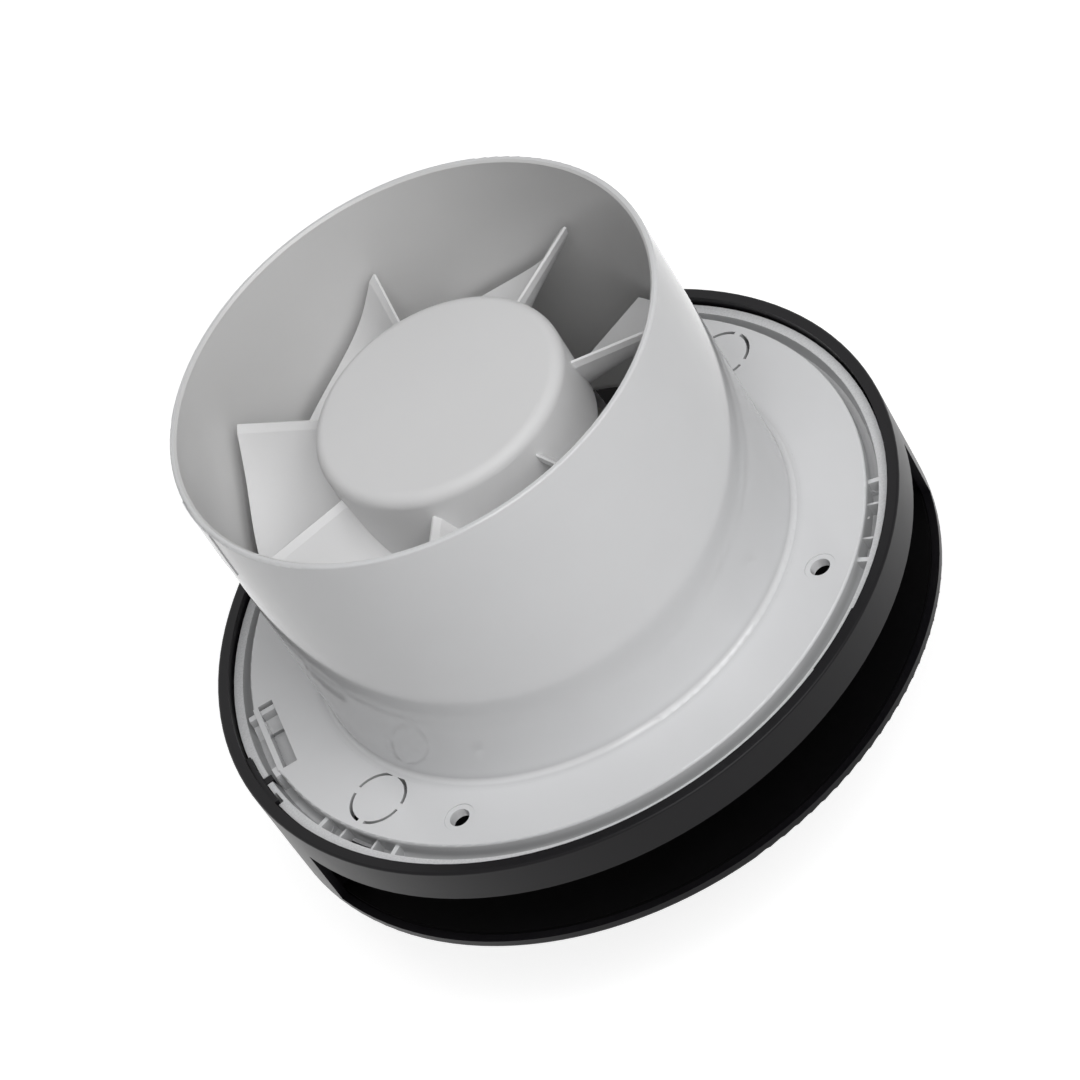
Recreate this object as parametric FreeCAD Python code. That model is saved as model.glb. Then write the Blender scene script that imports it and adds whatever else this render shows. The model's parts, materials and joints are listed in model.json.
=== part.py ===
import FreeCAD, Part
import math
import os

from FreeCAD import Vector

# Round exhaust fan for a 100 mm wall duct, in millimetres.
# Z is the duct axis and points the way the air leaves. z = 0 is the wall plane, so the
# duct stands above it and the cover hangs below it, towards the room.

# Duct
DUCT_OUTER_R = 49.5
DUCT_WALL = 1.4
DUCT_LENGTH = 64.2
MOUTH_ROUND = 0.45
BASE_FILLET = 1.0
INLET_DEPTH = 3.8
INLET_ROUND = 2.8
INLET_LIP = 0.4
SLEEVE_PAD_T = 0.2
SLEEVE_PAD_H = 12.0
SLEEVE_PAD_START_ANGLE = 176.0
SLEEVE_PAD_END_ANGLE = 190.0

# Wall plate, edge trough and skirt
PLATE_T = 2.2
PLATE_MARGIN = 14.9
PLATE_EDGE_ROUND = 0.4
EDGE_WALL = 1.6
TROUGH_DEPTH = 3.9
TROUGH_FLOOR_W = 1.3
TROUGH_FLOOR_T = 1.4
TROUGH_COVE_R = 1.1
SKIRT_DROP = 1.3
SKIRT_SLOPE_W = 0.8
SKIRT_TOP_W = 1.9
SKIRT_WALL = 1.6
SKIRT_FOOT = 0.3

# Wall screws and cable knockouts
SCREW_OFFSET = 8.2
SCREW_COUNT = 4
SCREW_HOLE_R = 2.0
SCREW_SPOT_R = 3.1
SCREW_SPOT_DEPTH = 0.15
KNOCKOUT_OFFSET = 7.25
KNOCKOUT_ANGLE = 25.0
KNOCKOUT_R = 6.0
KNOCKOUT_SLOT = 0.65
KNOCKOUT_WEB_COUNT = 4
KNOCKOUT_WEB_SPAN_ANGLE = 15.0

# Latch windows in the trough, and the release corner at the side
LATCH_COUNT = 3
LATCH_ANGLE = -34.3
LATCH_RIB_SPAN_ANGLE = 17.0
LATCH_RIB_T = 1.0
LATCH_RIB_DROP = 1.3
FINE_RIB_T = 0.5
FINE_RIB_ANGLE = 3.7
FINE_RIB_DROP = 1.7
RECESS_SPAN_ANGLE = 15.6
RECESS_DEPTH = 4.6
RECESS_TOP = 1.0
RECESS_UNDERCUT = 0.3
LATCH_SLIT_SPAN_ANGLE = 8.0
LATCH_SLIT_W = 0.9
TONGUE_SPAN_ANGLE = 6.0
TONGUE_GAP = 0.2
TONGUE_ENTRY = 0.6
RELEASE_ANGLE = 173.3
POCKET_LENGTH = 18.6
POCKET_IN = 4.8
POCKET_BAR_IN = 1.75
POCKET_BAR_OUT = 0.65
POCKET_DEPTH = 4.0
POCKET_WALL = 1.2
END_SLIT_W = 0.9
END_RIB_T = 1.3
END_RIB_DROP = 0.4
RAMP_DROP = 1.2
RAMP_RUN = 2.2
POCKET_SLOT_W = 0.9
RELIEF_COUNT = 3
RELIEF_START_ANGLE = 174.3
RELIEF_END_ANGLE = 187.0
RELIEF_DEPTH = 0.7
RELIEF_NOTCH_DEPTH = 1.2
RELIEF_GAP_START_ANGLE = 179.8
RELIEF_GAP_END_ANGLE = 181.6
RELIEF_NOTCH_ANGLE = 184.3
RELIEF_BRIDGE_ANGLE = 181.1
RELIEF_BRIDGE_W = 2.6
RELIEF_BRIDGE_GAP = 0.3
RELIEF_WELL_END_ANGLE = 186.6
LUG_MARGIN_ANGLE = 0.2
LUG_GAP = 0.15
LUG_H = 3.0
LUG_DROP = 0.4
KEY_GAP = 0.3

# Motor carrier in the inlet
CARRIER_MARGIN = 3.0
CARRIER_T = 2.5
CARRIER_WINDOW_GAP = 5.5
CARRIER_WINDOW_PAST = 1.5
ARM_COUNT = 4
ARM_W = 3.0
ARM_H = 8.0

# Motor
STACK_CORNER = 5.0
STACK_H = 12.0
LIMB_W = 5.5
STATOR_BORE_R = 13.5
SHOE_T = 1.8
SHOE_HALF = 11.5
POLE_W = 16.0
AIR_GAP = 0.5
END_RING_H = 1.8
END_RING_W = 4.4
BOBBIN_T = 0.8
FLANGE_T = 0.7
FLANGE_LIP = 0.5
COIL_BUILD = 3.7
COIL_L = 3.8
COIL_CORNER = 2.0
BRACKET_T = 3.0
BRACKET_W = 11.0
LOWER_FOOT_H = 6.3
UPPER_FOOT_H = 4.0
BEARING_BOSS_R = 7.0
BEARING_R = 4.5
BEARING_L = 7.0
BEARING_FROM_STACK = 2.8
RUNNING_CLEARANCE = 0.04
SHAFT_R = 2.0
SHAFT_END_GAP = 0.5
WASHER_R = 3.4
WASHER_PLAY = 0.3
MOTOR_SCREW_R = 1.5
MOTOR_SCREW_HEAD_R = 2.8
MOTOR_SCREW_HEAD_H = 2.2
SCREW_CLEARANCE = 0.2

# Impeller
BLADE_COUNT = 7
BLADE_STATION_COUNT = 8
BLADE_PHASE_ANGLE = 341.4
BLADE_LIFT = 2.7
BLADE_AXIAL = 18.1
TIP_GAP = 1.8
BLADE_T = 1.6
TRAILING_T = 0.5
LEADING_T = 0.8
BEVEL = 1.4
EVEN_SWEEP_ANGLE = 16.4
FLARED_SWEEP_ANGLE = 23.6
HUB_R = 25.4
HUB_WALL = 1.8
HUB_ROUND = 2.5
HUB_CROWN = 0.8
HUB_LIFT = 6.4
HUB_RISE = 2.8
BOSS_R = 5.0
BOSS_GAP = 1.0
BOSS_END_T = 3.0
HUB_RIB_COUNT = 6
HUB_RIB_T = 1.2
HUB_RIB_H = 7.0
CLIP_T = 0.9
CLIP_H = 3.0
CLIP_INSET = 0.5

# Wiring
TERMINAL_ANGLE = -8.0
TERMINAL_IN_GAP = 0.3
TERMINAL_W = 10.1
TERMINAL_LENGTH = 18.0
TERMINAL_H = 10.5
POLE_PITCH = 4.8
INSERT_W = 4.0
INSERT_DEPTH = 5.3
INSERT_END = 1.0
WIRE_BORE_R = 1.0
TERMINAL_SCREW_R = 1.2
TERMINAL_SCREW_HEAD_R = 1.6
TERMINAL_SCREW_PITCH = 9.0
TERMINAL_CLIP_T = 1.2
TERMINAL_CLIP_H = 5.0
CLAMP_ANGLE = 11.0
CLAMP_POST_R = 1.9
CLAMP_POST_H = 5.0
CLAMP_POST_PITCH = 7.2
CLAMP_W = 5.0
CLAMP_T = 2.2
CLAMP_SCREW_R = 1.1
CLAMP_SCREW_HEAD_R = 2.0
CLAMP_SCREW_HEAD_H = 1.4
LEAD_R = 0.8
LEAD_SPACING = 5.0
LEAD_BEND_R = 4.5

# Cover and front panel
COVER_GAP = 0.45
RIM_W = 2.35
RIM_T = 1.5
RIM_ROUND = 0.5
RIM_RISE = 0.5
COVER_DEPTH = 23.5
COVER_TAPER = 0.5
COVER_WALL = 1.6
BAND_H = 7.4
SILL_H = 1.9
SLOT_SPAN_ANGLE = 150.0
SLOT_COUNT = 2
FRONT_ROUND = 0.6
PANEL_T = 2.2
PANEL_GAP = 0.3
PANEL_EDGE_ROUND = 0.5
LEDGE_W = 5.0
LEDGE_T = 1.5
LEDGE_SPAN_ANGLE = 26.0
PEG_R = 1.8
PEG_HEAD_R = 2.3
PEG_HEAD_H = 1.2
PEG_PLAY = 0.15
PEG_INSET = 2.6
PEG_SPREAD_ANGLE = 8.0

# Radii and heights that follow from the sizes above
DUCT_BORE_R = DUCT_OUTER_R - DUCT_WALL
INLET_Z = -INLET_DEPTH
COLLAR_R = DUCT_BORE_R + INLET_ROUND + INLET_LIP
PLATE_R = DUCT_OUTER_R + PLATE_MARGIN
SCREW_CIRCLE_R = DUCT_OUTER_R + SCREW_OFFSET
KNOCKOUT_CIRCLE_R = DUCT_OUTER_R + KNOCKOUT_OFFSET
TROUGH_R = PLATE_R + TROUGH_FLOOR_W
RIM_IN_R = TROUGH_R + SKIRT_SLOPE_W
SKIRT_R = RIM_IN_R + SKIRT_TOP_W
TROUGH_Z = -TROUGH_DEPTH
FLOOR_Z = TROUGH_Z - TROUGH_FLOOR_T
SKIRT_Z = FLOOR_Z - SKIRT_FOOT
COVER_R = SKIRT_R + COVER_GAP + RIM_W
CARRIER_TOP = INLET_Z + CARRIER_T
STACK_Z = CARRIER_TOP + BRACKET_T + LOWER_FOOT_H
STACK_TOP = STACK_Z + STACK_H
SHOE_R = STATOR_BORE_R + SHOE_T
CAVITY_HALF = SHOE_R + COIL_L + 2 * FLANGE_T
STACK_HALF = CAVITY_HALF + LIMB_W
LIMB_X = STACK_HALF - LIMB_W / 2
FLANGE_GROW = BOBBIN_T + COIL_BUILD + FLANGE_LIP
CARRIER_R = STACK_HALF + CARRIER_MARGIN
UPPER_BAR_Z = STACK_TOP + UPPER_FOOT_H
LOWER_BEARING_Z = STACK_Z - BEARING_FROM_STACK - BEARING_L
UPPER_BEARING_Z = STACK_TOP + BEARING_FROM_STACK
LEADING_Z = UPPER_BAR_Z + BRACKET_T + BLADE_LIFT
TRAILING_Z = LEADING_Z + BLADE_AXIAL
TIP_R = DUCT_BORE_R - TIP_GAP
HUB_Z = LEADING_Z + HUB_LIFT
HUB_SHOULDER_Z = TRAILING_Z + HUB_RISE
HUB_TOP = HUB_SHOULDER_Z + HUB_ROUND
BOSS_Z = UPPER_BEARING_Z + BEARING_L + BOSS_GAP
SHAFT_TOP = HUB_TOP - HUB_WALL - BOSS_END_T
FRONT_Z = -COVER_DEPTH
PANEL_SEAT_Z = FRONT_Z + PANEL_T
SLOT_TOP = -BAND_H
SLOT_BOTTOM = FRONT_Z + SILL_H
PLATE_UNDER = -PLATE_T
TERMINAL_X = COLLAR_R + TERMINAL_IN_GAP
TERMINAL_Z = PLATE_UNDER - TERMINAL_H
WIRE_Z = PLATE_UNDER - INSERT_DEPTH
OVERSHOOT = 1.0


def disc(r, z0, z1, x=0.0, y=0.0):
    return Part.makeCylinder(r, z1 - z0, Vector(x, y, z0))


def ring(r_in, r_out, z0, z1):
    return disc(r_out, z0, z1).cut(disc(r_in, z0, z1))


def block(x0, x1, y0, y1, z0, z1):
    return Part.makeBox(x1 - x0, y1 - y0, z1 - z0, Vector(x0, y0, z0))


def turned(shape, angle):
    """A copy of the shape turned about the duct axis by an angle in degrees."""
    copy = shape.copy()
    copy.rotate(Vector(0, 0, 0), Vector(0, 0, 1), angle)
    return copy


def moved(shape, x, y, z=0.0):
    copy = shape.copy()
    copy.translate(Vector(x, y, z))
    return copy


def around(shape, count, first=0.0):
    """Copies of the shape spread evenly round the duct axis."""
    return [turned(shape, first + 360.0 * i / count) for i in range(count)]


def joined(shapes):
    return shapes[0].multiFuse(shapes[1:]).removeSplitter()


def outline(start, steps):
    """A closed face in the XZ plane. A step is (r, z) for a line or (r, z, r, z) for an arc."""
    edges = []
    here = Vector(start[0], 0, start[1])
    closing = [] if steps[-1][-2:] == start else [start]
    for step in steps + closing:
        there = Vector(step[-2], 0, step[-1])
        if len(step) == 4:
            edges.append(Part.Arc(here, Vector(step[0], 0, step[1]), there).toShape())
        else:
            edges.append(Part.LineSegment(here, there).toShape())
        here = there
    return Part.Face(Part.Wire(edges))


def revolved(start, steps, span=360.0):
    return outline(start, steps).revolve(Vector(0, 0, 0), Vector(0, 0, 1), span)


def bend(center_r, center_z, radius, angle):
    """A point on a round stretch of an outline."""
    a = math.radians(angle)
    return center_r + radius * math.cos(a), center_z + radius * math.sin(a)


def sector(r_in, r_out, z0, z1, a0, a1):
    corner = (r_in, z0)
    steps = [(r_out, z0), (r_out, z1), (r_in, z1)]
    return turned(revolved(corner, steps, a1 - a0), a0)


def cover_outer_r(z):
    """Outer radius of the tapered cover at a height below the wall plane."""
    return COVER_R + COVER_TAPER * z / COVER_DEPTH


def duct_shell():
    """The tube with its bell-mouthed inlet collar and the root of the plate."""
    base = DUCT_OUTER_R + BASE_FILLET
    lip = DUCT_BORE_R + INLET_ROUND
    mouth = DUCT_OUTER_R - MOUTH_ROUND
    return revolved((DUCT_BORE_R, INLET_Z + INLET_ROUND), [
        (DUCT_BORE_R, DUCT_LENGTH - MOUTH_ROUND),
        (DUCT_BORE_R + MOUTH_ROUND, DUCT_LENGTH),
        (mouth, DUCT_LENGTH),
        bend(mouth, DUCT_LENGTH - MOUTH_ROUND, MOUTH_ROUND, 45) + (DUCT_OUTER_R, DUCT_LENGTH - MOUTH_ROUND),
        (DUCT_OUTER_R, BASE_FILLET),
        bend(base, BASE_FILLET, BASE_FILLET, 225) + (base, 0),
        (COLLAR_R, 0),
        (COLLAR_R, INLET_Z),
        (lip, INLET_Z),
        bend(lip, INLET_Z + INLET_ROUND, INLET_ROUND, 225) + (DUCT_BORE_R, INLET_Z + INLET_ROUND),
    ])


def plate_shell():
    """The flat plate, its edge, the narrow trough with its cove and the flat-topped skirt."""
    flat = PLATE_R - PLATE_EDGE_ROUND
    cove = PLATE_R + TROUGH_COVE_R
    return revolved((COLLAR_R, 0), [
        (flat, 0),
        bend(flat, -PLATE_EDGE_ROUND, PLATE_EDGE_ROUND, 45) + (PLATE_R, -PLATE_EDGE_ROUND),
        (PLATE_R, TROUGH_Z + TROUGH_COVE_R),
        bend(cove, TROUGH_Z + TROUGH_COVE_R, TROUGH_COVE_R, 225) + (cove, TROUGH_Z),
        (TROUGH_R, TROUGH_Z),
        (RIM_IN_R, -SKIRT_DROP),
        (SKIRT_R, -SKIRT_DROP),
        (SKIRT_R, SKIRT_Z),
        (SKIRT_R - SKIRT_WALL, SKIRT_Z),
        (SKIRT_R - SKIRT_WALL, FLOOR_Z),
        (PLATE_R - EDGE_WALL, FLOOR_Z),
        (PLATE_R - EDGE_WALL, PLATE_UNDER),
        (COLLAR_R, PLATE_UNDER),
    ])


def motor_carrier():
    """The disc that the motor stands on, with its arms out to the duct wall."""
    plate = disc(CARRIER_R, INLET_Z, CARRIER_TOP)
    plate = plate.cut(disc(BEARING_BOSS_R + SCREW_CLEARANCE, INLET_Z, CARRIER_TOP))
    half = POLE_W / 2 + FLANGE_GROW
    for side in (0, 180):
        window = block(-half, half, BRACKET_W / 2 + CARRIER_WINDOW_GAP, CAVITY_HALF + CARRIER_WINDOW_PAST,
                       INLET_Z, CARRIER_TOP)
        screw_hole = disc(MOTOR_SCREW_R + SCREW_CLEARANCE, INLET_Z, CARRIER_TOP, LIMB_X)
        plate = plate.cut(turned(window, side)).cut(turned(screw_hole, side))
    arm = block(CARRIER_R - CARRIER_MARGIN / 2, DUCT_OUTER_R, -ARM_W / 2, ARM_W / 2,
                INLET_Z, INLET_Z + ARM_H)
    arm = arm.common(disc(DUCT_BORE_R, INLET_Z, INLET_Z + ARM_H))
    return joined([plate] + around(arm, ARM_COUNT))


def trough_rib(thickness, drop):
    return block(PLATE_R - EDGE_WALL / 2, RIM_IN_R + SKIRT_SLOPE_W, -thickness / 2, thickness / 2,
                 -RECESS_DEPTH, -drop)


def latch_ribs():
    """Ribs that bridge the trough: a stout pair at the ends of each latch window, a fine pair inside it."""
    stout = trough_rib(LATCH_RIB_T, LATCH_RIB_DROP)
    fine = trough_rib(FINE_RIB_T, FINE_RIB_DROP)
    ribs = []
    for side in (-1, 1):
        ribs += around(stout, LATCH_COUNT, LATCH_ANGLE + side * LATCH_RIB_SPAN_ANGLE / 2)
        ribs += around(fine, LATCH_COUNT, LATCH_ANGLE + side * FINE_RIB_ANGLE)
    return ribs


def terminal_clips():
    """Two ribs under the plate that hold the ends of the terminal block."""
    clips = []
    half = TERMINAL_LENGTH / 2
    for side in (-1, 1):
        near = side * (half + SCREW_CLEARANCE)
        far = near + side * TERMINAL_CLIP_T
        clip = block(TERMINAL_X, TERMINAL_X + TERMINAL_W, min(near, far), max(near, far),
                     PLATE_UNDER - TERMINAL_CLIP_H, PLATE_UNDER)
        for y in (-POLE_PITCH / 2, POLE_PITCH / 2):
            clip = clip.cut(block(terminal_centre_x() + y - LEAD_R - SCREW_CLEARANCE,
                                  terminal_centre_x() + y + LEAD_R + SCREW_CLEARANCE,
                                  min(near, far), max(near, far),
                                  PLATE_UNDER - TERMINAL_CLIP_H, WIRE_Z + LEAD_R + SCREW_CLEARANCE))
        clips.append(turned(clip, TERMINAL_ANGLE))
    return clips


def terminal_centre_x():
    return TERMINAL_X + TERMINAL_W / 2


def clamp_centre_x():
    return (COLLAR_R + PLATE_R - EDGE_WALL) / 2


def clamp_posts():
    posts = []
    for side in (-0.5, 0.5):
        x = clamp_centre_x() + side * CLAMP_POST_PITCH
        post = disc(CLAMP_POST_R, PLATE_UNDER - CLAMP_POST_H, PLATE_UNDER, x)
        posts.append(turned(post, CLAMP_ANGLE))
    return posts


def clamp_screw_holes():
    holes = []
    for side in (-0.5, 0.5):
        x = clamp_centre_x() + side * CLAMP_POST_PITCH
        hole = disc(CLAMP_SCREW_R, PLATE_UNDER - CLAMP_POST_H, PLATE_UNDER, x)
        holes.append(turned(hole, CLAMP_ANGLE))
    return holes


def wall_screw_holes():
    hole = disc(SCREW_HOLE_R, PLATE_UNDER, 0, SCREW_CIRCLE_R)
    spot = disc(SCREW_SPOT_R, -SCREW_SPOT_DEPTH, 0, SCREW_CIRCLE_R)
    return around(hole.fuse(spot), SCREW_COUNT, 180.0 / SCREW_COUNT)


def knockout_slots():
    """Thin arcs round each cable knockout, with webs left between them."""
    slots = []
    pitch = 360.0 / KNOCKOUT_WEB_COUNT
    for side in (0, 180):
        for i in range(KNOCKOUT_WEB_COUNT):
            a0 = pitch * i + KNOCKOUT_WEB_SPAN_ANGLE / 2
            arc = sector(KNOCKOUT_R - KNOCKOUT_SLOT, KNOCKOUT_R, PLATE_UNDER, 0,
                         a0, a0 + pitch - KNOCKOUT_WEB_SPAN_ANGLE)
            slots.append(turned(moved(arc, KNOCKOUT_CIRCLE_R, 0), KNOCKOUT_ANGLE + side))
    return slots


def trough_recess(a0, a1):
    """A deeper, square-cornered stretch of the trough."""
    return sector(PLATE_R - RECESS_UNDERCUT, TROUGH_R, -RECESS_DEPTH, -RECESS_TOP, a0, a1)


def latch_windows():
    """The recesses of the trough at the latches, each with a slit through its floor."""
    half = RECESS_SPAN_ANGLE / 2
    slit_half = LATCH_SLIT_SPAN_ANGLE / 2
    slit = sector(TROUGH_R - LATCH_SLIT_W, TROUGH_R, FLOOR_Z, TROUGH_Z, -slit_half, slit_half)
    recess = trough_recess(-half, half)
    return around(recess, LATCH_COUNT, LATCH_ANGLE) + around(slit, LATCH_COUNT, LATCH_ANGLE)


def release_pocket_floor():
    half = POCKET_LENGTH / 2 + POCKET_WALL
    floor = block(PLATE_R - POCKET_IN - POCKET_WALL, PLATE_R - EDGE_WALL, -half, half,
                  -POCKET_DEPTH - POCKET_WALL, PLATE_UNDER)
    return turned(floor, RELEASE_ANGLE)


def ramp_end():
    """Where the ramp of the release pocket meets its floor, along the pocket."""
    return END_SLIT_W + END_RIB_T + RAMP_RUN - POCKET_LENGTH / 2


def in_release(shape):
    """A shape of the release pocket, laid out along X, at its place inside the skirt."""
    return turned(shape, RELEASE_ANGLE).common(disc(TROUGH_R, -POCKET_DEPTH, 0))


def release_cuts():
    """The hollow of the release pocket and the gaps in the skirt beside it."""
    half = POCKET_LENGTH / 2
    slot = block(PLATE_R - POCKET_IN, PLATE_R - POCKET_BAR_IN, ramp_end(), ramp_end() + POCKET_SLOT_W,
                 -POCKET_DEPTH - POCKET_WALL, 0)
    relief = sector(SKIRT_R - RELIEF_DEPTH, SKIRT_R, SKIRT_Z, 0, RELIEF_START_ANGLE, RELIEF_END_ANGLE)
    return around(relief, RELIEF_COUNT) + [
        in_release(block(PLATE_R - POCKET_IN, SKIRT_R, -half, half, -POCKET_DEPTH, 0)),
        turned(slot, RELEASE_ANGLE),
        sector(TROUGH_R, SKIRT_R, SKIRT_Z, 0, RELIEF_GAP_START_ANGLE, RELIEF_GAP_END_ANGLE),
        sector(SKIRT_R - RELIEF_NOTCH_DEPTH, SKIRT_R, SKIRT_Z, 0, RELIEF_NOTCH_ANGLE, RELIEF_END_ANGLE),
        trough_recess(RELIEF_BRIDGE_ANGLE, RELIEF_WELL_END_ANGLE),
    ]


def release_fill():
    """What stands in the pocket: its bar, the rib at one end and the ramp behind the rib."""
    half = POCKET_LENGTH / 2
    u_in = PLATE_R - POCKET_IN
    rib_v = END_SLIT_W - half
    bar = block(PLATE_R - POCKET_BAR_IN, PLATE_R - POCKET_BAR_OUT, -half, half, -POCKET_DEPTH, 0)
    rib = block(u_in, SKIRT_R, rib_v, rib_v + END_RIB_T, -POCKET_DEPTH, -END_RIB_DROP)
    slope = [Vector(u_in, rib_v, -POCKET_DEPTH), Vector(u_in, rib_v, -RAMP_DROP),
             Vector(u_in, ramp_end(), -POCKET_DEPTH)]
    ramp = Part.Face(Part.makePolygon(slope + slope[:1])).extrude(Vector(SKIRT_R - u_in, 0, 0))
    return in_release(joined([bar, rib, ramp]))


def release_bridge():
    """The small block that crosses the trough behind the gap in the skirt."""
    bridge = block(PLATE_R - EDGE_WALL / 2, TROUGH_R - RELIEF_BRIDGE_GAP,
                   -RELIEF_BRIDGE_W / 2, RELIEF_BRIDGE_W / 2, FLOOR_Z, -PLATE_EDGE_ROUND)
    return turned(bridge, RELIEF_BRIDGE_ANGLE)


def housing_duct():
    pad = sector(DUCT_OUTER_R - DUCT_WALL / 2, DUCT_OUTER_R + SLEEVE_PAD_T,
                 DUCT_LENGTH - MOUTH_ROUND - SLEEVE_PAD_H, DUCT_LENGTH - MOUTH_ROUND,
                 SLEEVE_PAD_START_ANGLE, SLEEVE_PAD_END_ANGLE)
    return joined([duct_shell(), pad])


def housing_plate():
    body = joined([plate_shell(), release_pocket_floor()] + terminal_clips() + clamp_posts())
    removed = wall_screw_holes() + knockout_slots() + latch_windows() + release_cuts() + clamp_screw_holes()
    for cut in removed:
        body = body.cut(cut)
    return joined([body, release_fill(), release_bridge()] + latch_ribs())


def sweep_at(depth):
    """Angle that a blade has swept at a depth below its trailing edge, in degrees."""
    share = depth / BLADE_AXIAL
    return EVEN_SWEEP_ANGLE * share + FLARED_SWEEP_ANGLE * share ** 4


def blade_section(x):
    """Closed section of a blade where it crosses the plane at distance x from the axis."""
    middle = (EVEN_SWEEP_ANGLE + FLARED_SWEEP_ANGLE) / 2

    def camber(depth):
        return Vector(x, x * math.tan(math.radians(sweep_at(depth) - middle)), TRAILING_Z - depth)

    def side(depth, half):
        step = BLADE_AXIAL / 100
        along = camber(depth + step).sub(camber(depth - step))
        across = Vector(0, along.z, -along.y).normalize()
        return camber(depth).add(across.multiply(half))

    spans = BLADE_STATION_COUNT
    depths = [BEVEL + (BLADE_AXIAL - BEVEL) * i / spans for i in range(spans + 1)]
    halves = [(BLADE_T + (LEADING_T - BLADE_T) * (i / spans) ** 2) / 2 for i in range(spans + 1)]
    faces = []
    for sign in (1, -1):
        curve = Part.BSplineCurve()
        curve.interpolate([side(d, sign * h) for d, h in zip(depths, halves)])
        faces.append(curve.toShape())
    tips = [side(0, sign * TRAILING_T / 2) for sign in (1, -1)]
    starts = [side(BEVEL, sign * BLADE_T / 2) for sign in (1, -1)]
    ends = [side(BLADE_AXIAL, sign * LEADING_T / 2) for sign in (1, -1)]
    edges = [
        Part.LineSegment(tips[0], starts[0]).toShape(),
        faces[0],
        Part.LineSegment(ends[0], ends[1]).toShape(),
        faces[1],
        Part.LineSegment(starts[1], tips[1]).toShape(),
        Part.LineSegment(tips[1], tips[0]).toShape(),
    ]
    return Part.Wire(Part.__sortEdges__(edges))


def blade():
    root_r = HUB_R - HUB_WALL / 2
    spread = math.radians((EVEN_SWEEP_ANGLE + FLARED_SWEEP_ANGLE) / 2)
    near = blade_section(root_r * math.cos(spread) - HUB_WALL)
    far = blade_section(TIP_R + TIP_GAP)
    solid = Part.makeLoft([near, far], True, True)
    solid = solid.common(ring(root_r, TIP_R, LEADING_Z - BLADE_T, TRAILING_Z + BLADE_T))
    return turned(solid, (EVEN_SWEEP_ANGLE + FLARED_SWEEP_ANGLE) / 2)


def hub():
    inner = HUB_R - HUB_WALL
    flat_r = HUB_R - HUB_ROUND
    crown = HUB_TOP + HUB_CROWN
    under = HUB_TOP - HUB_WALL
    crown_r = (flat_r ** 2 + HUB_CROWN ** 2) / (2 * HUB_CROWN)
    half_way = crown - crown_r + math.sqrt(crown_r ** 2 - (flat_r / 2) ** 2)
    cup = revolved((0, under), [
        (inner, under),
        (inner, HUB_Z),
        (HUB_R, HUB_Z),
        (HUB_R, HUB_SHOULDER_Z),
        bend(flat_r, HUB_SHOULDER_Z, HUB_ROUND, 45) + (flat_r, HUB_TOP),
        (flat_r / 2, half_way, 0, crown),
    ])
    boss = disc(BOSS_R, BOSS_Z, under)
    rib = block(0, HUB_R - HUB_WALL / 2, -HUB_RIB_T / 2, HUB_RIB_T / 2, under - HUB_RIB_H, under)
    return joined([cup, boss] + around(rib, HUB_RIB_COUNT))


def impeller():
    body = joined([hub()] + around(blade(), BLADE_COUNT, BLADE_PHASE_ANGLE))
    return body.cut(disc(SHAFT_R, BOSS_Z, SHAFT_TOP))


def hub_clip():
    z0 = BOSS_Z + CLIP_INSET
    return ring(BOSS_R, BOSS_R + CLIP_T, z0, z0 + CLIP_H)


def shaft():
    return disc(SHAFT_R, LOWER_BEARING_Z + SHAFT_END_GAP, SHAFT_TOP)


def rotor_core():
    r = STATOR_BORE_R - AIR_GAP
    core = disc(r, STACK_Z, STACK_TOP)
    cage = ring(r - AIR_GAP - END_RING_W, r - AIR_GAP, STACK_Z - END_RING_H, STACK_TOP + END_RING_H)
    return core.fuse(cage).cut(disc(SHAFT_R, STACK_Z, STACK_TOP)).removeSplitter()


def thrust_washers():
    lower_top = LOWER_BEARING_Z + BEARING_L
    lower = ring(SHAFT_R, WASHER_R, lower_top + WASHER_PLAY, STACK_Z)
    upper = ring(SHAFT_R, WASHER_R, STACK_TOP, UPPER_BEARING_Z - WASHER_PLAY)
    return Part.makeCompound([lower, upper])


def rounded_square(half, corner, z0, z1):
    square = block(-half, half, -half, half, z0, z1)
    upright = [e for e in square.Edges if abs(e.Length - (z1 - z0)) < 1e-6 and
               abs(e.tangentAt(e.FirstParameter).z) > 0.9]
    return square.makeFillet(corner, upright)


def stator_core():
    stack = rounded_square(STACK_HALF, STACK_CORNER, STACK_Z, STACK_TOP)
    stack = stack.cut(rounded_square(CAVITY_HALF, STACK_CORNER / 2, STACK_Z, STACK_TOP))
    shoes = ring(STATOR_BORE_R, SHOE_R, STACK_Z, STACK_TOP)
    shoes = shoes.common(block(-SHOE_HALF, SHOE_HALF, -SHOE_R, SHOE_R, STACK_Z, STACK_TOP))
    pole = block(-POLE_W / 2, POLE_W / 2, 0, CAVITY_HALF + LIMB_W / 2, STACK_Z, STACK_TOP)
    body = joined([stack, shoes, pole, turned(pole, 180)])
    body = body.cut(disc(STATOR_BORE_R, STACK_Z, STACK_TOP))
    for side in (0, 180):
        hole = disc(MOTOR_SCREW_R + SCREW_CLEARANCE, STACK_Z, STACK_TOP, LIMB_X)
        body = body.cut(turned(hole, side))
    return body.removeSplitter()


def frame_round_pole(grow_in, grow_out, y0, y1, corner):
    """A rectangular collar round the pole on the +Y side."""
    def slab(grow):
        half = POLE_W / 2 + grow
        return block(-half, half, y0, y1, STACK_Z - grow, STACK_TOP + grow)

    outer = slab(grow_out)
    along = [e for e in outer.Edges if abs(e.tangentAt(e.FirstParameter).y) > 0.9]
    return outer.makeFillet(corner, along).cut(slab(grow_in))


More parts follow.
